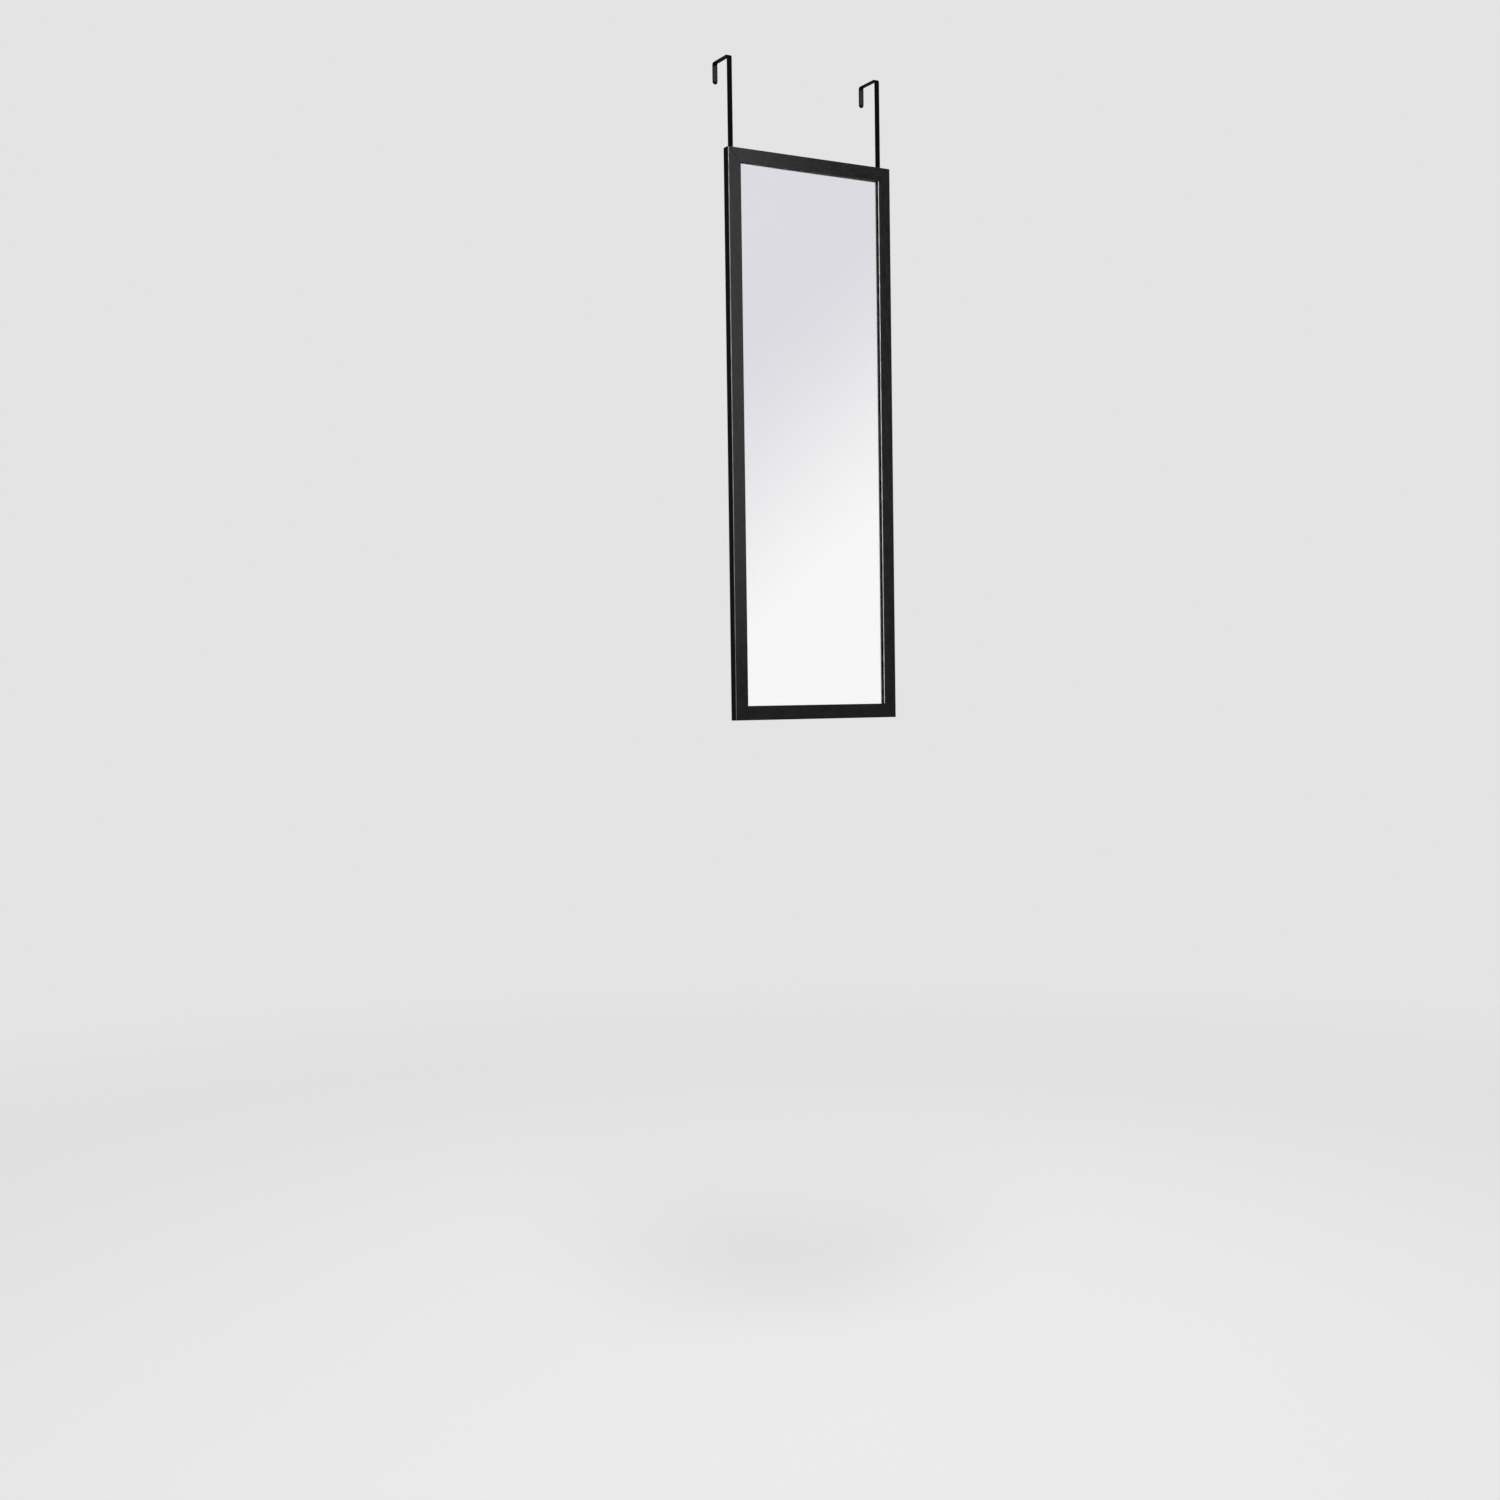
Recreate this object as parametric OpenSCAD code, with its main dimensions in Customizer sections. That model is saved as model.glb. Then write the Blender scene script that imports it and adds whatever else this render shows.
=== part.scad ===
// Over-the-door mirror: a slim mitred frame with a silvered pane, carried by two bent steel
// straps that hook over the top edge of a door. Lengths are in millimetres.
// +Z is up and the pane faces -Y. The origin is on the door's top front edge, midway between
// the hooks: y = 0 is the face of the door and z = 0 is its top edge.

/* [Frame] */
// Overall width of the frame
frame_w = 280; // [240:1:400]
// Overall height of the frame
frame_h = 830; // [600:1:1200]
// Width of the moulding, seen from the front
face_w = 21; // [18:0.5:28]
// Depth of the moulding, from front to back
frame_d = 14; // [12.5:0.5:20]
// Radius of the two front edges of the moulding
edge_r = 1.2; // [0.5:0.1:2]
// Thickness of the lip in front of the pane
lip_t = 3; // [2.2:0.1:4]
// Width of the rebate behind the lip
rebate_w = 5.5; // [4:0.5:7]
// Depth of the fine groove along each mitre on the front
groove_d = 0.25; // [0.1:0.05:0.4]

/* [Pane and back] */
// Thickness of the glass
glass_t = 3; // [2:0.5:4]
// Thickness of the silvering with its paint
silver_t = 0.2; // [0.1:0.05:0.4]
// Thickness of the foam sheet behind the silvering
foam_t = 1; // [0.5:0.5:2]
// Thickness of the hardboard back
board_t = 2.5; // [2:0.5:3.5]
// Clearance between the pane and each wall of the rebate
pane_gap = 1; // [0.5:0.1:1.5]

/* [Retaining points] */
// Length of a flat steel point
point_len = 15; // [12:0.5:18]
// Width of a point
point_w = 6; // [4:0.5:8]
// Thickness of a point
point_t = 0.4; // [0.3:0.1:0.8]
// How far a point is driven into the wall of the rebate
point_bite = 6; // [4:0.5:8]
// Number of points along each stile
stile_points = 5; // [2:1:8]
// Number of points along each rail
rail_points = 2; // [2:1:4]
// Distance from the frame's outer corner to the nearest point
point_end = 60; // [40:1:90]
// Distance from the end of a strap to the first point below it
point_below_strap = 15; // [10:1:40]

/* [Corner nails] */
// Length of each leg of a corner nail
nail_leg = 5; // [4:0.5:5.5]
// Thickness of a corner nail
nail_t = 0.5; // [0.3:0.1:0.8]
// How deep a corner nail reaches into the moulding
nail_depth = 8; // [6:0.5:10]
// How far a corner nail is sunk below the back of the frame
nail_sink = 0.3; // [0.1:0.1:0.5]
// Distance from the frame's outer edges to the first corner nail
nail_edge = 4.5; // [3.5:0.5:5.5]
// Distance between the two nails of a corner, along each edge
nail_pitch = 5; // [4:0.5:5.5]

/* [Hanging straps] */
// Width of the steel strap
strap_w = 8; // [6.8:0.2:10]
// Thickness of the steel strap
strap_t = 1.5; // [1:0.1:2]
// Radius of the strap's rolled long edges
strap_edge_r = 0.4; // [0.2:0.05:0.45]
// Distance from the rebate's wall to the strap's centre line
strap_edge = 3.5; // [2.5:0.5:6]
// Height from the top of the frame to the top edge of the door
hang_drop = 135; // [60:1:300]
// Length of the strap that runs down behind the frame
strap_tail = 120; // [105:1:180]
// Inside width of the hook, front to back
hook_gap = 42; // [30:1:55]
// Length of the hook's rear lip, below the top edge of the door
hook_lip = 30; // [18:1:50]
// Inside radius of the hook's two bends
bend_r = 2.5; // [1:0.5:5]
// Number of height-setting holes in the strap
hole_count = 5; // [4:1:6]
// Distance between two height-setting holes
hole_pitch = 20; // [12:1:24]
// Distance from the end of the strap to its lowest hole
hole_end = 12; // [8:1:16]

/* [Screws] */
// Diameter of the screw's shank
screw_d = 3; // [2.5:0.1:3.5]
// Diameter of the countersunk head
head_d = 5.6; // [5:0.1:6]
// Length of the screw with its head
screw_len = 11; // [8:0.5:12]
// Length of the pointed tip
tip_len = 2; // [1:0.5:4]
// Radial clearance of the screw in the strap and in the wood
screw_gap = 0.05; // [0.02:0.01:0.2]
// How far the head lies below the back of the strap
head_sink = 0.1; // [0.05:0.05:0.3]
// Width of the slots of the cross recess
recess_w = 0.8; // [0.6:0.1:1.2]
// Span of the cross recess
recess_span = 3.2; // [2.4:0.2:4]
// Depth of the cross recess
recess_d = 1; // [0.6:0.1:1.4]

/* [Pads and bumpers] */
// Thickness of the foam pad inside the hook's rear lip
pad_t = 1; // [0.5:0.1:2]
// Space left bare at each side of the pad
pad_side = 0.5; // [0.2:0.1:1]
// Space between the bend and the pad
pad_top = 1; // [0.5:0.5:3]
// Diameter of the bumpers at the frame's lower corners
bumper_d = 10; // [6:0.5:14]
// Width of the bevel around a bumper
bumper_bevel = 0.5; // [0.2:0.1:0.8]

/* [Hidden] */
$fn = 48;
cut = 1;                                   // how far a cutting shape runs past the surface
spike_r = 0.3;                             // radius at the very tip of a screw

// Depths, from the face of the door towards the viewer
back_y = -strap_t;                         // back of the frame, against the straps
front_y = back_y - frame_d;                // front of the frame
glass_y = front_y + lip_t;                 // front of the glass
silver_y = glass_y + glass_t;              // front of the silvering
foam_y = silver_y + silver_t;              // front of the foam sheet
board_y = foam_y + foam_t;                 // front of the hardboard
point_y = board_y + board_t;               // back of the hardboard, where the points lie

// Heights and widths
top_z = -hang_drop;                        // top of the frame
bottom_z = top_z - frame_h;                // bottom of the frame
mid_z = (top_z + bottom_z) / 2;
back_w = face_w - rebate_w;                // solid width of the moulding at its back
wall_x = frame_w / 2 - back_w;             // wall of the rebate in a stile
wall_z = frame_h / 2 - back_w;             // wall of the rebate in a rail, from mid height
pane_w = 2 * (wall_x - pane_gap);
pane_h = 2 * (wall_z - pane_gap);
strap_x = wall_x + strap_edge;             // centre line of each strap
strap_end_z = top_z - strap_tail;          // lower end of each strap
first_hole_z = strap_end_z + hole_end;
screw_holes = [1, 3];                      // holes that hold a screw, counted from the lowest
head_h = (head_d - screw_d) / 2;           // height of a 90 degree countersunk head
stile_top_z = strap_end_z - point_below_strap;
stile_low_z = bottom_z + point_end;
rail_end_x = frame_w / 2 - point_end;

frame_black = [0.13, 0.13, 0.14];
strap_black = [0.07, 0.07, 0.08];
steel_grey = [0.62, 0.63, 0.65];
foam_white = [0.9, 0.9, 0.88];
foam_black = [0.16, 0.16, 0.17];

// Places of count things, evenly spread from one end to the other
function spread(count, from, to) = [for (i = [0 : count - 1]) from + (to - from) * i / (count - 1)];

// Puts its children at an outer corner of the frame's back, as they would lie with the
// frame's material to the right of the origin and above it
module at_corner(side, end) {
    translate([side * frame_w / 2, back_y, mid_z + end * frame_h / 2])
        mirror([side > 0 ? 1 : 0, 0, 0])
            mirror([0, 0, end > 0 ? 1 : 0])
                children();
}

// ---- Fixings, and the same shapes as holes and slots in what they hold ----

// A corner nail: a bent plate whose two legs run along the two members
module corner_nail() {
    half = nail_t / 2;
    rotate([90, 0, 0])
        linear_extrude(height = nail_depth)
            polygon([
                [-half, -half], [nail_leg, -half], [nail_leg, half],
                [half, half], [half, nail_leg], [-half, nail_leg]
            ]);
}

// The two nails of one corner
module nail_pair(side, end) {
    at_corner(side, end)
        for (place = [nail_edge, nail_edge + nail_pitch])
            translate([place, -nail_sink, place])
                corner_nail();
}

// A retaining point along +X: its tip is in the wood, past x = 0
module retaining_point() {
    half = point_w / 2;
    translate([0, point_y + point_t, 0])
        rotate([90, 0, 0])
            linear_extrude(height = point_t)
                polygon([
                    [point_bite - point_len, -half], [point_bite - half, -half],
                    [point_bite, 0],
                    [point_bite - half, half], [point_bite - point_len, half]
                ]);
}

module stile_point_row(side) {
    for (z = spread(stile_points, stile_low_z, stile_top_z))
        translate([side * wall_x, 0, z])
            rotate([0, side > 0 ? 0 : 180, 0])
                retaining_point();
}

module rail_point_row(end) {
    for (x = spread(rail_points, -rail_end_x, rail_end_x))
        translate([x, 0, mid_z + end * wall_z])
            rotate([0, -90 * end, 0])
                retaining_point();
}

// A countersunk screw along -Y with its head at y = 0; gap makes it a hole for the screw
module screw_body(gap = 0) {
    shank_r = screw_d / 2 + gap;
    rotate([90, 0, 0]) {
        cylinder(h = head_h, r1 = head_d / 2 + gap, r2 = shank_r);
        translate([0, 0, head_h])
            cylinder(h = screw_len - tip_len - head_h, r = shank_r);
        translate([0, 0, screw_len - tip_len])
            cylinder(h = tip_len, r1 = shank_r, r2 = spike_r + gap);
    }
}

module screw() {
    difference() {
        screw_body();
        for (turn = [0, 90])
            rotate([0, turn, 0])
                translate([-recess_span / 2, -recess_d, -recess_w / 2])
                    cube([recess_span, recess_d + cut, recess_w]);
    }
}

module screw_hole() {
    translate([0, -head_sink, 0])
        screw_body(screw_gap);
    translate([0, cut, 0])
        rotate([90, 0, 0])
            cylinder(h = cut + head_sink, r = head_d / 2 + screw_gap);
}

module at_strap_hole(side, hole) {
    translate([side * strap_x, 0, first_hole_z + hole * hole_pitch])
        children();
}

// ---- Frame ----

// Section of the moulding: x runs inwards from the outer edge, y forwards from the back
module moulding_section() {
    difference() {
        union() {
            square([face_w, frame_d - edge_r]);
            translate([edge_r, 0])
                square([face_w - 2 * edge_r, frame_d]);
            for (x = [edge_r, face_w - edge_r])
                translate([x, frame_d - edge_r])
                    circle(r = edge_r);
        }
        translate([back_w, -cut])
            square([rebate_w + cut, frame_d - lip_t + cut]);
    }
}

// Bevels the front corner of the mitre at a member's +X end; two of them make a V groove
module mitre_bevel(half) {
    translate([half, groove_d - frame_d, 0])
        rotate([0, 135, 0])
            rotate([45, 0, 0])
                translate([-cut, -cut, 0])
                    cube([face_w * sqrt(2) + 2 * cut, 2 * cut, cut]);
}

// A member along X with mitred ends; its back is at y = 0 and its outer edge at z = 0
module mitred_member(length) {
    half = length / 2;
    difference() {
        intersection() {
            rotate([180, 90, 0])
                linear_extrude(height = length, center = true)
                    moulding_section();
            translate([0, cut, 0])
                rotate([90, 0, 0])
                    linear_extrude(height = frame_d + 2 * cut)
                        polygon([
                            [-half, 0], [half, 0],
                            [half - face_w, -face_w], [face_w - half, -face_w]
                        ]);
        }
        mitre_bevel(half);
        mirror([1, 0, 0])
            mitre_bevel(half);
    }
}

module stile(side) {
    color(frame_black)
        difference() {
            translate([side * frame_w / 2, back_y, mid_z])
                rotate([0, 90 * side, 0])
                    mitred_member(frame_h);
            for (end = [-1, 1])
                nail_pair(side, end);
            stile_point_row(side);
            for (hole = screw_holes)
                at_strap_hole(side, hole)
                    screw_hole();
        }
}

module rail(end) {
    color(frame_black)
        difference() {
            translate([0, back_y, mid_z + end * frame_h / 2])
                rotate([0, 90 - 90 * end, 0])
                    mitred_member(frame_w);
            for (side = [-1, 1])
                nail_pair(side, end);
            rail_point_row(end);
        }
}

// ---- Pane and back ----

// A sheet of the pane's size, t thick, with its front at y
module pane_sheet(y, t) {
    translate([-pane_w / 2, y, mid_z - pane_h / 2])
        cube([pane_w, t, pane_h]);
}

// ---- Straps ----

// Section of the strap: thickness along +X from x = 0, width along Y, rolled edges
module strap_section() {
    half = strap_w / 2;
    translate([0, strap_edge_r - half])
        square([strap_t, strap_w - 2 * strap_edge_r]);
    translate([strap_edge_r, -half])
        square([strap_t - 2 * strap_edge_r, strap_w]);
    for (x = [strap_edge_r, strap_t - strap_edge_r], y = [strap_edge_r - half, half - strap_edge_r])
        translate([x, y])
            circle(r = strap_edge_r);
}

// A straight upright stretch with its front at y = 0 and its lower end at z = 0
module strap_leg(length) {
    linear_extrude(height = length)
        rotate(90)
            strap_section();
}

// The half-round lower end of a leg
module strap_end() {
    rotate([-90, 0, 0])
        rotate_extrude(angle = 180)
            intersection() {
                rotate(90)
                    strap_section();
                square([strap_w, strap_t]);
            }
}

// A quarter bend about the X axis, from the direction from_deg (0 is back, 90 is up)
module strap_bend(from_deg) {
    rotate([90, 0, 90])
        rotate([0, 0, from_deg])
            rotate_extrude(angle = 90)
                translate([bend_r, 0])
                    strap_section();
}

module strap(side) {
    half = strap_w / 2;
    color(strap_black)
        difference() {
            translate([side * strap_x, 0, 0]) {
                translate([0, -strap_t, strap_end_z + half]) {
                    strap_end();
                    strap_leg(-bend_r - strap_end_z - half);
                }
                translate([0, bend_r, -bend_r])
                    strap_bend(90);
                translate([0, bend_r, 0])
                    rotate([-90, 0, 0])
                        linear_extrude(height = hook_gap - 2 * bend_r)
                            rotate(-90)
                                strap_section();
                translate([0, hook_gap - bend_r, -bend_r])
                    strap_bend(0);
                translate([0, hook_gap, half - hook_lip]) {
                    strap_end();
                    strap_leg(hook_lip - bend_r - half);
                }
            }
            for (hole = [0 : hole_count - 1])
                at_strap_hole(side, hole)
                    screw_hole();
        }
}

module strap_screws(side) {
    color(strap_black)
        for (hole = screw_holes)
            at_strap_hole(side, hole)
                translate([0, -head_sink, 0])
                    screw();
}

// Foam pad on the flat stretch of the hook's rear lip
module hook_pad(side) {
    pad_w = strap_w - 2 * pad_side;
    pad_low_z = strap_w / 2 - hook_lip;
    pad_high_z = -bend_r - pad_top;
    color(foam_black)
        translate([side * strap_x - pad_w / 2, hook_gap - pad_t, pad_low_z])
            cube([pad_w, pad_t, pad_high_z - pad_low_z]);
}

// Bumper on the back of a lower corner, as thick as the strap, so the frame hangs upright
module bumper(side) {
    color(foam_black)
        at_corner(side, -1)
            translate([back_w / 2, 0, back_w / 2])
                rotate([-90, 0, 0]) {
                    cylinder(h = strap_t - bumper_bevel, d = bumper_d);
                    translate([0, 0, strap_t - bumper_bevel])
                        cylinder(h = bumper_bevel, d1 = bumper_d, d2 = bumper_d - 2 * bumper_bevel);
                }
}

// ---- One module for each node ----

module frame_left_stile() { stile(-1); }
module frame_right_stile() { stile(1); }
module frame_top_rail() { rail(1); }
module frame_bottom_rail() { rail(-1); }

module corner_nails_top_left() { color(steel_grey) nail_pair(-1, 1); }
module corner_nails_top_right() { color(steel_grey) nail_pair(1, 1); }
module corner_nails_bottom_left() { color(steel_grey) nail_pair(-1, -1); }
module corner_nails_bottom_right() { color(steel_grey) nail_pair(1, -1); }

module mirror_glass() { color([0.8, 0.86, 0.86]) pane_sheet(glass_y, glass_t); }
module silver_coating() { color([0.86, 0.86, 0.89]) pane_sheet(silver_y, silver_t); }
module foam_sheet() { color(foam_white) pane_sheet(foam_y, foam_t); }
module backing_board() { color([0.42, 0.3, 0.2]) pane_sheet(board_y, board_t); }

module retaining_points() {
    color(steel_grey)
        for (way = [-1, 1]) {
            stile_point_row(way);
            rail_point_row(way);
        }
}

module hanger_strap_left() { strap(-1); }
module hanger_strap_right() { strap(1); }
module strap_screws_left() { strap_screws(-1); }
module strap_screws_right() { strap_screws(1); }
module hook_pad_left() { hook_pad(-1); }
module hook_pad_right() { hook_pad(1); }
module bumper_left() { bumper(-1); }
module bumper_right() { bumper(1); }

frame_left_stile();
frame_right_stile();
frame_top_rail();
frame_bottom_rail();
corner_nails_top_left();
corner_nails_top_right();
corner_nails_bottom_left();
corner_nails_bottom_right();
mirror_glass();
silver_coating();
foam_sheet();
backing_board();
retaining_points();
hanger_strap_left();
hanger_strap_right();
strap_screws_left();
strap_screws_right();
hook_pad_left();
hook_pad_right();
bumper_left();
bumper_right();
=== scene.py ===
import math

import bmesh
import bpy
from mathutils import Matrix, Vector

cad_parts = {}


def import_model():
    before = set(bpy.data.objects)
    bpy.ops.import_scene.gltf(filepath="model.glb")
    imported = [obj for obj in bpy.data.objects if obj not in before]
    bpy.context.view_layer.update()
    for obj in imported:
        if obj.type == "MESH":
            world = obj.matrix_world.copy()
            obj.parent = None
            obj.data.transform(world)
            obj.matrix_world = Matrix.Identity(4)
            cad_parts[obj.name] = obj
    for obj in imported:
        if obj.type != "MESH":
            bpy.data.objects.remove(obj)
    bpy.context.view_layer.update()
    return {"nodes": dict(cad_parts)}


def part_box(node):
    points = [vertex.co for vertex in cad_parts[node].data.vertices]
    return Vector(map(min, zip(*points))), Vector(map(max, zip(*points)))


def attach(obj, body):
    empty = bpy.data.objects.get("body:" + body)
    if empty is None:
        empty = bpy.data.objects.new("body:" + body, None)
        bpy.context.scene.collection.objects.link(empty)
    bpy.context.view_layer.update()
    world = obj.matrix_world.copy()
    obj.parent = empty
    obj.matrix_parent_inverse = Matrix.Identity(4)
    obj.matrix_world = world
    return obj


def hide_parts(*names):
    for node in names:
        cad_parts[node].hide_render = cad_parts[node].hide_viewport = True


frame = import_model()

MM = 0.001

# Camera: the photograph's viewing angle, and the lens that goes with its perspective
CAMERA_PLACE = (-1.5369, -2.4977, -0.9213)
CAMERA_AZIMUTH = 29.758
CAMERA_ELEVATION = -1.744
CAMERA_ROLL = -0.797
CAMERA_REACH = 200.0
SENSOR_WIDTH = 36.0
LENS = 46.94

# The moulding: its four members, and the box around them
MOULDINGS = ("frame_left_stile", "frame_right_stile", "frame_top_rail", "frame_bottom_rail")
FRAME_LOW = Vector(min(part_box(name)[0][i] for name in MOULDINGS) for i in range(3))
FRAME_HIGH = Vector(max(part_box(name)[1][i] for name in MOULDINGS) for i in range(3))
HALF_WIDTH = (FRAME_HIGH.x - FRAME_LOW.x) / 2
HALF_HEIGHT = (FRAME_HIGH.z - FRAME_LOW.z) / 2
MIDDLE_Z = (FRAME_HIGH.z + FRAME_LOW.z) / 2


def rgb(red, green, blue):
    return (red, green, blue, 1.0)


def grey(value):
    return rgb(value, value, value)


class Graph:
    """A node tree built with short calls."""

    def __init__(self, owner):
        owner.use_nodes = True
        self.tree = owner.node_tree
        self.tree.nodes.clear()

    def add(self, kind, inputs=None, **settings):
        node = self.tree.nodes.new(kind)
        for key, value in settings.items():
            setattr(node, key, value)
        for key, value in (inputs or {}).items():
            if isinstance(value, bpy.types.NodeSocket):
                self.tree.links.new(value, node.inputs[key])
            else:
                node.inputs[key].default_value = value
        return node

    def math(self, operation, a, b=0.0):
        return self.add("ShaderNodeMath", {0: a, 1: b}, operation=operation).outputs[0]

    def weigh(self, *shares):
        """The sum of some values, each times its share."""
        total = 0.0
        for value, share in shares:
            total = self.math("ADD", total, self.math("MULTIPLY", value, share))
        return total

    def vector(self, operation, a, b=(0.0, 0.0, 0.0)):
        return self.add("ShaderNodeVectorMath", {0: a, 1: b}, operation=operation).outputs

    def parts(self, vector):
        """The X, Y and Z of a vector."""
        return self.add("ShaderNodeSeparateXYZ", {"Vector": vector}).outputs

    def place(self, scale=(1, 1, 1), turn=(0, 0, 0)):
        """Positions in metres on the object, turned and then scaled along the turned axes."""
        coords = self.add("ShaderNodeTexCoord").outputs["Object"]
        turned = self.add("ShaderNodeMapping", {"Vector": coords, "Rotation": turn}).outputs["Vector"]
        return self.add("ShaderNodeMapping", {"Vector": turned, "Scale": scale}).outputs["Vector"]

    def noise(self, vector, scale, detail=2.0, roughness=0.5, distortion=0.0):
        node = self.add("ShaderNodeTexNoise", {
            "Vector": vector, "Scale": scale, "Detail": detail,
            "Roughness": roughness, "Distortion": distortion,
        })
        return node.outputs["Fac"]

    def cells(self, vector, scale):
        return self.add("ShaderNodeTexVoronoi", {"Vector": vector, "Scale": scale}).outputs

    def ramp(self, value, limits, colours):
        """A colour that goes through the colours as the value goes through the limits."""
        node = self.add("ShaderNodeValToRGB", {"Fac": value})
        elements = node.color_ramp.elements
        while len(elements) < len(limits):
            elements.new(1.0)
        for element, limit, colour in zip(elements, limits, colours):
            element.position = limit
            element.color = colour
        return node.outputs["Color"]

    def span(self, value, low, high, to_low=0.0, to_high=1.0, smooth=False):
        """A number that goes from to_low to to_high as the value goes from low to high."""
        node = self.add("ShaderNodeMapRange", {
            "Value": value, "From Min": low, "From Max": high, "To Min": to_low, "To Max": to_high,
        }, interpolation_type="SMOOTHSTEP" if smooth else "LINEAR")
        return node.outputs["Result"]

    def lay(self, mask, under, over, strength=1.0):
        """A number laid over another where the mask is, as far as the strength says."""
        factor = self.math("MULTIPLY", mask, strength)
        return self.add("ShaderNodeMix", {0: factor, 2: under, 3: over}, data_type="FLOAT").outputs[0]

    def paint(self, mask, under, over, strength=1.0):
        """A colour laid over another where the mask is, as far as the strength says."""
        factor = self.math("MULTIPLY", mask, strength)
        return self.add("ShaderNodeMix", {0: factor, 6: under, 7: over}, data_type="RGBA").outputs[2]

    def tint(self, colour, number):
        """A colour times a number."""
        inputs = {0: 1.0, 6: colour, 7: number}
        return self.add("ShaderNodeMix", inputs, data_type="RGBA", blend_type="MULTIPLY").outputs[2]

    def bump(self, height, distance, strength, under=None):
        """Relief as deep as the distance, on top of the relief under it."""
        inputs = {"Height": height, "Distance": distance, "Strength": strength}
        if under is not None:
            inputs["Normal"] = under
        return self.add("ShaderNodeBump", inputs).outputs["Normal"]

    def surface(self, **inputs):
        named = {key.replace("_", " "): value for key, value in inputs.items()}
        shader = self.add("ShaderNodeBsdfPrincipled", named)
        self.add("ShaderNodeOutputMaterial", {"Surface": shader.outputs[0]})


def new_material(name):
    material = bpy.data.materials.new(name)
    return material, Graph(material)


# ---- The moulding's material ----

# What the normal tells of a place: a mask grows as its measure goes from one limit to the other
ON_ARRIS = (0.985, 0.90)            # the largest part of the normal
ON_LEFT = (-0.20, -0.45)            # its X
ON_BACK = (0.80, 0.95)              # its Y
ON_FLANK = (0.50, 0.20)             # the size of its Y

# What the position tells: how far in from the side the inner arris takes over from the outer
# one, and how far from the mitre its line fades out
INNER_ARRIS = (8 * MM, 12 * MM)
MITRE_LINE = (0.2 * MM, 0.8 * MM)

# How bright the painted highlight is on the arrises that face left: on the outer one it grows from its
# foot to its top, and the inner one, beside the glass, is brightest
OUTER_HIGHLIGHT = (0.45, 1.15)
INNER_HIGHLIGHT = 1.75

# The grain's tone in each finish, and the colours from its darkest to its lightest fibres
PAINT_GRAIN = (0.36, 0.64)
PAINT = (rgb(0.0010, 0.0010, 0.0011), rgb(0.0066, 0.0066, 0.0068))
ARRIS_GRAIN = (0.34, 0.64)
SHARP_ARRIS = (grey(0.004), grey(0.012))
# painted highlight: pale colours that stand in for light on the arrises that face left
PAINTED_HIGHLIGHT_ARRIS = (grey(0.080), grey(0.230))
BARE_GRAIN = (0.32, 0.68)
BARE_WOOD = (rgb(0.030, 0.024, 0.019), rgb(0.085, 0.066, 0.050))
BARE_PORE = rgb(0.012, 0.009, 0.007)
# black of the pores, also used as painted shade on the flanks
DEEP_BLACK = grey(0.0006)
MITRE_BLACK = grey(0.0012)


def facing_masks(g):
    """Where the moulding has an arris, faces left, faces back, or has a flank."""
    facing = g.parts(g.add("ShaderNodeNewGeometry").outputs["Normal"])
    sizes = [g.math("ABSOLUTE", facing[axis]) for axis in "XYZ"]
    largest = g.math("MAXIMUM", g.math("MAXIMUM", sizes[0], sizes[1]), sizes[2])
    arris = g.span(largest, *ON_ARRIS, smooth=True)
    left = g.span(facing["X"], *ON_LEFT)
    back = g.span(facing["Y"], *ON_BACK)
    flank = g.span(sizes[1], *ON_FLANK)
    return arris, left, back, flank


def mitre_and_highlight(g):
    """Where the mitres' lines are, and how bright the painted highlight on an arris is."""
    spot = g.parts(g.place())
    off_middle = g.math("ABSOLUTE", g.math("SUBTRACT", spot["Z"], MIDDLE_Z))
    from_end = g.math("SUBTRACT", HALF_HEIGHT, off_middle)
    from_side = g.math("SUBTRACT", HALF_WIDTH, g.math("ABSOLUTE", spot["X"]))
    off_mitre = g.math("ABSOLUTE", g.math("SUBTRACT", from_side, from_end))
    mitre = g.span(off_mitre, *MITRE_LINE, 1.0, 0.0, smooth=True)
    # painted highlight: the outer arris is painted brighter towards the top, and the inner one
    # brighter still
    outer_highlight = g.span(spot["Z"], FRAME_LOW.z, FRAME_HIGH.z, *OUTER_HIGHLIGHT)
    highlight_strength = g.lay(g.span(from_side, *INNER_ARRIS), outer_highlight, INNER_HIGHLIGHT)
    return mitre, highlight_strength


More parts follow.
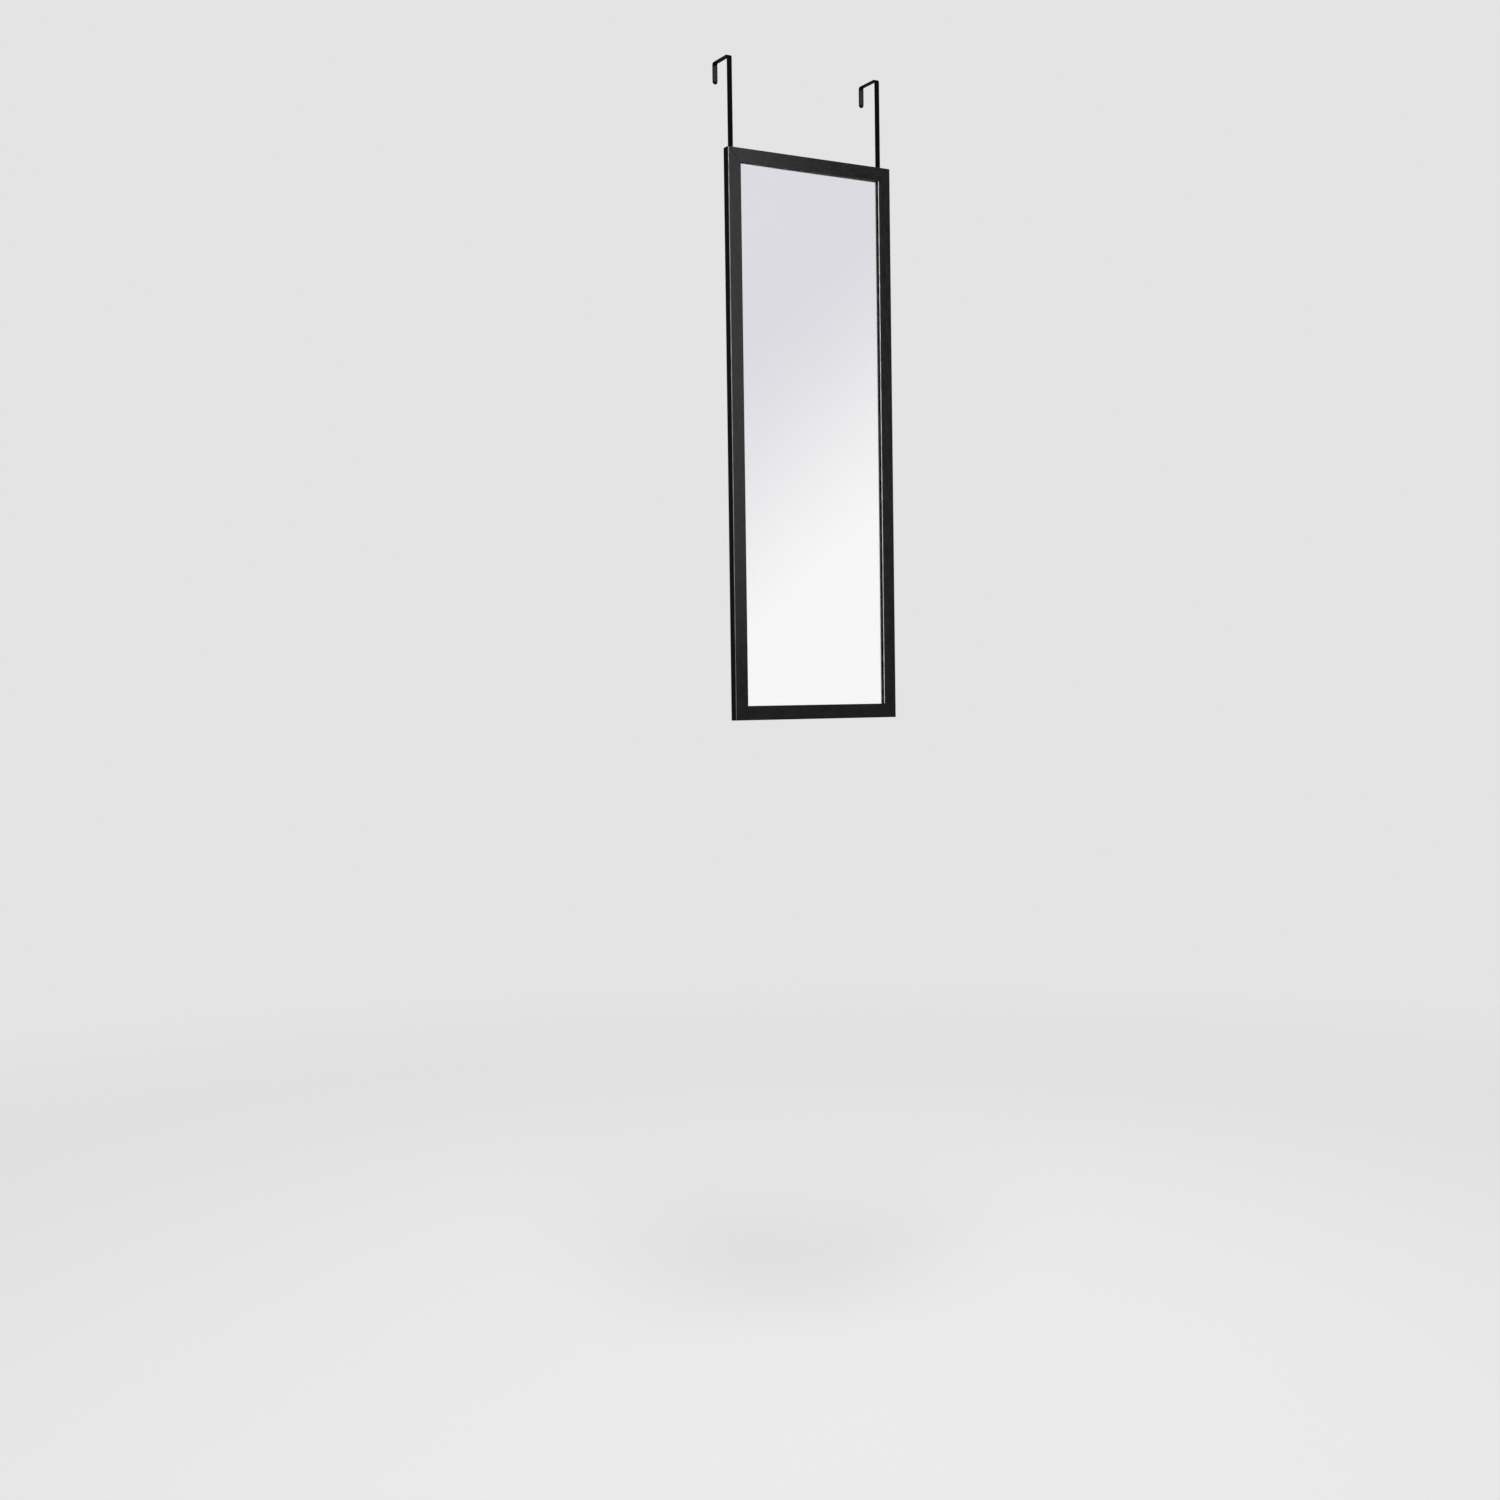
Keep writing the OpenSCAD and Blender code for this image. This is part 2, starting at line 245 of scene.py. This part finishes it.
def frame_material(name, along):
    """Black satin moulding: grain along the member, a painted highlight on the arrises that face left,
    painted shade on the flanks, a dark line at each mitre and bare stained wood at the back."""
    material, g = new_material(name)

    def grain(stretch):
        """Positions drawn out along the member."""
        return g.place((1.0, 1.0, stretch) if along == "Z" else (stretch, 1.0, 1.0))

    fibres = g.noise(grain(0.05), scale=1300.0, detail=3.0, roughness=0.6)
    streaks = g.noise(grain(0.16), scale=420.0, detail=3.0, roughness=0.6)
    mottle = g.noise(g.place(), scale=60.0)
    pores = g.span(g.noise(grain(0.045), scale=2600.0, detail=1.0), low=0.56, high=0.66)
    tone = g.weigh((fibres, 0.30), (streaks, 0.50), (mottle, 0.20))

    arris, left, back, flank = facing_masks(g)
    mitre, highlight_strength = mitre_and_highlight(g)
    arris = g.math("MULTIPLY", arris, g.math("SUBTRACT", 1.0, mitre))

    sharp = g.ramp(tone, ARRIS_GRAIN, SHARP_ARRIS)
    # painted highlight: the arrises that face left are coloured pale as if lit
    painted_highlight = g.tint(g.ramp(tone, ARRIS_GRAIN, PAINTED_HIGHLIGHT_ARRIS), highlight_strength)
    bare = g.paint(pores, g.ramp(tone, BARE_GRAIN, BARE_WOOD), BARE_PORE, strength=0.6)
    colour = g.paint(pores, g.ramp(tone, PAINT_GRAIN, PAINT), DEEP_BLACK, strength=0.5)
    # painted shade: the flanks and inner walls are darkened almost to black
    colour = g.paint(flank, colour, DEEP_BLACK, strength=0.9)
    colour = g.paint(arris, colour, g.paint(left, sharp, painted_highlight))
    colour = g.paint(back, colour, bare)
    colour = g.paint(mitre, colour, MITRE_BLACK, strength=0.5)

    roughness = g.span(tone, *PAINT_GRAIN, to_low=0.27, to_high=0.45)
    roughness = g.lay(arris, roughness, 0.26)
    roughness = g.lay(flank, roughness, 0.36)
    roughness = g.lay(mitre, roughness, 0.90, strength=0.4)
    roughness = g.lay(back, roughness, 0.78)

    relief = g.bump(fibres, distance=0.14 * MM, strength=0.40)
    relief = g.bump(streaks, distance=0.40 * MM, strength=0.40, under=relief)
    wood = g.math("SUBTRACT", 1.0, pores)
    relief = g.bump(wood, distance=0.04 * MM, strength=0.35, under=relief)
    g.surface(Base_Color=colour, Roughness=roughness, Normal=relief, Specular_IOR_Level=0.08)
    return material


# ---- The other materials ----

NOISE = (0.3, 0.7)    # the range that most of a noise falls in


def coated_steel(name, dark, light, roughness, peel_scale, level):
    """Powder-coated steel with a fine orange peel."""
    material, g = new_material(name)
    peel = g.noise(g.place(), scale=peel_scale)
    cloud = g.noise(g.place(), scale=60.0, detail=3.0, roughness=0.55)
    g.surface(
        Base_Color=g.ramp(cloud, NOISE, (grey(dark), grey(light))),
        Roughness=g.span(cloud, *NOISE, *roughness),
        Normal=g.bump(peel, distance=0.02 * MM, strength=0.30),
        Specular_IOR_Level=level,
    )
    return material


def zinc_steel():
    """Zinc-plated sheet with faint spangle and rolling marks."""
    material, g = new_material("zinc_plated")
    colour = g.cells(g.place(), scale=700.0)["Color"]
    spangle = g.add("ShaderNodeSeparateColor", {"Color": colour}).outputs["Red"]
    rolled = g.noise(g.place((1.0, 1.0, 0.08)), scale=2200.0)
    tone = g.weigh((spangle, 0.5), (rolled, 0.5))
    g.surface(
        Base_Color=g.ramp(tone, (0.2, 0.8), (rgb(0.42, 0.43, 0.45), rgb(0.66, 0.67, 0.69))),
        Metallic=1.0,
        Roughness=g.span(tone, 0.2, 0.8, to_low=0.30, to_high=0.46),
        Normal=g.bump(rolled, distance=0.03 * MM, strength=0.3),
    )
    return material


def clear_glass():
    """Clear float glass that drifts a little in tint."""
    material, g = new_material("float_glass")
    drift = g.noise(g.place(), scale=3.0, detail=1.0)
    g.surface(
        Base_Color=g.ramp(drift, NOISE, (rgb(0.990, 0.992, 0.991), rgb(0.993, 0.995, 0.994))),
        Roughness=0.0,
        IOR=1.52,
        Transmission_Weight=1.0,
    )
    return material


def silvering():
    """Bright silver coating that drifts a little in tone."""
    material, g = new_material("mirror_silver")
    drift = g.noise(g.place(), scale=6.0)
    g.surface(
        Base_Color=g.ramp(drift, NOISE, (rgb(0.955, 0.955, 0.957), rgb(0.962, 0.962, 0.964))),
        Metallic=1.0,
        Roughness=0.0,
    )
    return material


def hardboard():
    """Pressed brown fibres that lie three ways, with darker flecks."""
    material, g = new_material("pressed_hardboard")

    def layer(turn, scale):
        """Fibres drawn out along a direction that is turned by some degrees in the board."""
        along = g.place((1.0, 1.0, 0.25), (0.0, math.radians(turn), 0.0))
        return g.noise(along, scale, detail=4.0, roughness=0.6, distortion=0.6)

    fibres = g.weigh((layer(12, 900.0), 1 / 3), (layer(72, 760.0), 1 / 3), (layer(132, 820.0), 1 / 3))
    cloud = g.noise(g.place(), scale=14.0, detail=3.0, roughness=0.6)
    tone = g.weigh((fibres, 0.92), (cloud, 0.08))
    browns = (rgb(0.100, 0.055, 0.028), rgb(0.205, 0.122, 0.066), rgb(0.315, 0.205, 0.120))
    brown = g.ramp(tone, (0.32, 0.50, 0.68), browns)
    flecks = g.span(g.noise(g.place((1.0, 1.0, 0.45)), scale=800.0), low=0.67, high=0.72)
    g.surface(
        Base_Color=g.paint(flecks, brown, rgb(0.070, 0.038, 0.020), strength=0.55),
        Roughness=g.span(tone, *NOISE, to_low=0.58, to_high=0.78),
        Normal=g.bump(fibres, distance=0.25 * MM, strength=0.5),
        Specular_IOR_Level=0.35,
    )
    return material


def white_foam():
    """Thin white packing foam with open cells."""
    material, g = new_material("foam_white")
    pores = g.cells(g.place(), scale=1400.0)["Distance"]
    g.surface(
        Base_Color=g.ramp(pores, (0.0, 0.5), (rgb(0.62, 0.62, 0.60), rgb(0.80, 0.80, 0.78))),
        Roughness=0.9,
        Normal=g.bump(pores, distance=0.20 * MM, strength=0.5),
    )
    return material


def black_foam():
    """Dense black foam with small cells."""
    material, g = new_material("foam_black")
    pores = g.cells(g.place(), scale=2600.0)["Distance"]
    g.surface(
        Base_Color=g.ramp(pores, (0.0, 0.5), (grey(0.010), grey(0.030))),
        Roughness=0.92,
        Normal=g.bump(pores, distance=0.15 * MM, strength=0.6),
        Specular_IOR_Level=0.25,
    )
    return material


def rubber():
    """Black rubber with a faint bloom."""
    material, g = new_material("rubber_black")
    bloom = g.noise(g.place(), scale=420.0, detail=3.0, roughness=0.6)
    g.surface(
        Base_Color=g.ramp(bloom, NOISE, (grey(0.012), grey(0.030))),
        Roughness=g.span(bloom, *NOISE, to_low=0.55, to_high=0.72),
        Normal=g.bump(bloom, distance=0.05 * MM, strength=0.3),
        Specular_IOR_Level=0.35,
    )
    return material


stile_black = frame_material("moulding_stile", along="Z")
rail_black = frame_material("moulding_rail", along="X")
strap_black = coated_steel(
    "strap_coating", dark=0.0007, light=0.0019, roughness=(0.31, 0.42), peel_scale=1500.0, level=0.045,
)
screw_black = coated_steel(
    "screw_coating", dark=0.0080, light=0.0150, roughness=(0.29, 0.40), peel_scale=2500.0, level=0.40,
)
zinc = zinc_steel()

MATERIALS = {
    "frame_left_stile": stile_black,
    "frame_right_stile": stile_black,
    "frame_top_rail": rail_black,
    "frame_bottom_rail": rail_black,
    "corner_nails_top_left": zinc,
    "corner_nails_top_right": zinc,
    "corner_nails_bottom_left": zinc,
    "corner_nails_bottom_right": zinc,
    "retaining_points": zinc,
    "silver_coating": silvering(),
    "foam_sheet": white_foam(),
    "backing_board": hardboard(),
    "hanger_strap_left": strap_black,
    "hanger_strap_right": strap_black,
    "strap_screws_left": screw_black,
    "strap_screws_right": screw_black,
    "hook_pad_left": black_foam(),
    "hook_pad_right": black_foam(),
    "bumper_left": rubber(),
    "bumper_right": rubber(),
}
for name, material in MATERIALS.items():
    frame["nodes"][name].material_slots[0].material = material


# ---- The pane: float glass with ground edges, just clear of the coating and the lip ----

GLASS_SKIN = 0.02 * MM
GLASS_ARRIS = 0.4 * MM


def glass_pane():
    low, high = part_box("mirror_glass")
    size = high - low - Vector((0.0, 2 * GLASS_SKIN, 0.0))
    mesh = bpy.data.meshes.new("pane_glass")
    b = bmesh.new()
    bmesh.ops.create_cube(b, size=1.0)
    for vertex in b.verts:
        vertex.co = (low + high) / 2 + vertex.co * size
    bmesh.ops.bevel(b, geom=b.edges[:], offset=GLASS_ARRIS, segments=1, affect="EDGES")
    b.to_mesh(mesh)
    b.free()
    mesh.materials.append(clear_glass())
    pane = bpy.data.objects.new("pane_glass", mesh)
    bpy.context.scene.collection.objects.link(pane)
    return pane


pane = glass_pane()
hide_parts("mirror_glass")
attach(pane, "root")


# ---- The studio ----
# Diffuse light is even. What gloss and glass see is a pale room: white at eye level and below,
# with a band that runs up into a cool grey, and dim space behind and overhead. Far off, the
# floor glows with what the room shows in its direction, so the two meet without a line.

CENTRE = (0.0, 0.0, -0.48)                 # about the middle of the object
AMBIENT = grey(0.68)
BACKGROUND = rgb(0.775, 0.775, 0.780)      # what the camera sees
HORIZON = grey(0.985)
BAND_SIDE = Vector((0.853, 0.522, 0.0))    # level direction along which the band rises
BAND_RISE = 0.9                            # how steeply it rises
BAND_REACH = 0.10                          # how far the rise goes on before it levels out
BAND_HEIGHTS = (0.055, 0.085, 0.125, 0.165, 0.195)
BAND_COLOURS = (
    HORIZON, rgb(0.940, 0.936, 0.937), rgb(0.861, 0.862, 0.880),
    rgb(0.789, 0.783, 0.827), rgb(0.763, 0.751, 0.799),
)
DIM = 0.15
BEHIND = (-0.10, 0.35)                     # how far back a direction points, from pale to dim
OVERHEAD = (0.32, 0.75)                    # how far up it points, from pale to dim

FLOOR_Z = -2.04
FLOOR_RINGS = (1.0, 2.0, 4.0, 8.0, 20.0, 60.0)
FLOOR_SIDES = 64
FLOOR_WHITE = rgb(0.88, 0.88, 0.885)
FLOOR_FADE = (0.9, 4.6)                    # from where it takes shadows to where it only glows


def room(g, direction):
    """What gloss and glass see along a direction."""
    part = g.parts(direction)
    side = g.vector("DOT_PRODUCT", direction, BAND_SIDE)["Value"]
    levelled = g.math("TANH", g.math("DIVIDE", side, BAND_REACH))
    rise = g.math("MULTIPLY", levelled, BAND_RISE * BAND_REACH)
    band = g.ramp(g.math("SUBTRACT", part["Z"], rise), BAND_HEIGHTS, BAND_COLOURS)
    behind = g.span(part["Y"], *BEHIND, 1.0, DIM, smooth=True)
    overhead = g.span(part["Z"], *OVERHEAD, 1.0, DIM, smooth=True)
    return g.tint(band, g.math("MINIMUM", behind, overhead))


def by_ray(g, soft, sharp):
    """The background for the camera, one colour for diffuse light, one for gloss and glass."""
    path = g.add("ShaderNodeLightPath").outputs
    mirrored = g.math("MAXIMUM", path["Is Glossy Ray"], path["Is Transmission Ray"])
    seen = g.paint(mirrored, soft, sharp)
    return g.paint(path["Is Camera Ray"], seen, BACKGROUND)


def world():
    studio = bpy.data.worlds.new("studio")
    bpy.context.scene.world = studio
    g = Graph(studio)
    direction = g.add("ShaderNodeTexCoord").outputs["Generated"]
    seen = by_ray(g, AMBIENT, room(g, direction))
    background = g.add("ShaderNodeBackground", {"Color": seen, "Strength": 1.0})
    g.add("ShaderNodeOutputWorld", {"Surface": background.outputs[0]})


def floor_material():
    """Pale floor that takes soft shadows near the object and runs into the background."""
    material, g = new_material("floor_pale")
    position = g.add("ShaderNodeNewGeometry").outputs["Position"]
    offset = g.vector("SUBTRACT", position, CENTRE)["Vector"]
    level = g.vector("MULTIPLY", offset, (1.0, 1.0, 0.0))["Vector"]
    far = g.span(g.vector("LENGTH", level)["Value"], *FLOOR_FADE, smooth=True)
    direction = g.vector("NORMALIZE", offset)["Vector"]
    near = g.add("ShaderNodeBsdfDiffuse", {"Color": FLOOR_WHITE})
    seen = by_ray(g, HORIZON, room(g, direction))
    glow = g.add("ShaderNodeEmission", {"Color": seen, "Strength": 1.0})
    both = g.add("ShaderNodeMixShader", {0: far, 1: near.outputs[0], 2: glow.outputs[0]})
    g.add("ShaderNodeOutputMaterial", {"Surface": both.outputs[0]})
    return material


def floor():
    mesh = bpy.data.meshes.new("floor")
    b = bmesh.new()
    centre = b.verts.new((0.0, 0.0, FLOOR_Z))
    angles = [2 * math.pi * i / FLOOR_SIDES for i in range(FLOOR_SIDES)]
    rings = []
    for radius in FLOOR_RINGS:
        points = [(radius * math.cos(a), radius * math.sin(a), FLOOR_Z) for a in angles]
        rings.append([b.verts.new(point) for point in points])
    for i in range(FLOOR_SIDES):
        j = (i + 1) % FLOOR_SIDES
        b.faces.new((centre, rings[0][i], rings[0][j]))
        for inner, outer in zip(rings, rings[1:]):
            b.faces.new((inner[i], outer[i], outer[j], inner[j]))
    b.to_mesh(mesh)
    b.free()
    mesh.materials.append(floor_material())
    obj = bpy.data.objects.new("floor", mesh)
    bpy.context.scene.collection.objects.link(obj)
    return obj


world()
floor()


# ---- Lamps ----

WATTS = 4.0    # for each square metre of a lamp that is as bright as the picture's white


def lamp(name, place, aim, width, height, brightness, only=None):
    """A rectangular soft lamp, which can light only one collection."""
    data = bpy.data.lights.new(name, "AREA")
    data.shape = "RECTANGLE"
    data.size = width
    data.size_y = height
    data.energy = brightness * WATTS * width * height
    obj = bpy.data.objects.new(name, data)
    bpy.context.scene.collection.objects.link(obj)
    obj.location = place
    obj.rotation_euler = (Vector(aim) - Vector(place)).to_track_quat("-Z", "Y").to_euler()
    obj.visible_camera = False
    if only is not None:
        obj.light_linking.receiver_collection = only


moulding = bpy.data.collections.new("moulding")
for name in MOULDINGS:
    moulding.objects.link(frame["nodes"][name])

lamp("key_softbox", place=(-0.9, -1.7, 2.1), aim=CENTRE, width=1.2, height=1.2, brightness=7.0)
lamp("back_softbox", place=(1.3, 1.9, 1.2), aim=CENTRE, width=1.4, height=1.4, brightness=2.6)
lamp(
    "sheen_panel", place=(0.15, -0.60, -0.32), aim=(-0.13, 0.0, -0.45),
    width=0.20, height=0.96, brightness=7.2, only=moulding,
)
lamp(
    "edge_strip", place=(-1.75, -1.0, -0.40), aim=(0.0, 0.0, -0.45),
    width=0.60, height=1.10, brightness=10.0, only=moulding,
)


# ---- Camera ----

def camera():
    data = bpy.data.cameras.new("camera")
    data.sensor_fit = "HORIZONTAL"
    data.sensor_width = SENSOR_WIDTH
    data.lens = LENS
    data.clip_end = CAMERA_REACH
    obj = bpy.data.objects.new("camera", data)
    bpy.context.scene.collection.objects.link(obj)
    turn = Matrix.Rotation(math.radians(-CAMERA_AZIMUTH), 4, "Z")
    turn = turn @ Matrix.Rotation(math.radians(90 + CAMERA_ELEVATION), 4, "X")
    turn = turn @ Matrix.Rotation(math.radians(CAMERA_ROLL), 4, "Z")
    obj.matrix_world = Matrix.Translation(CAMERA_PLACE) @ turn
    bpy.context.scene.camera = obj


camera()
bpy.context.scene.view_settings.view_transform = "Standard"
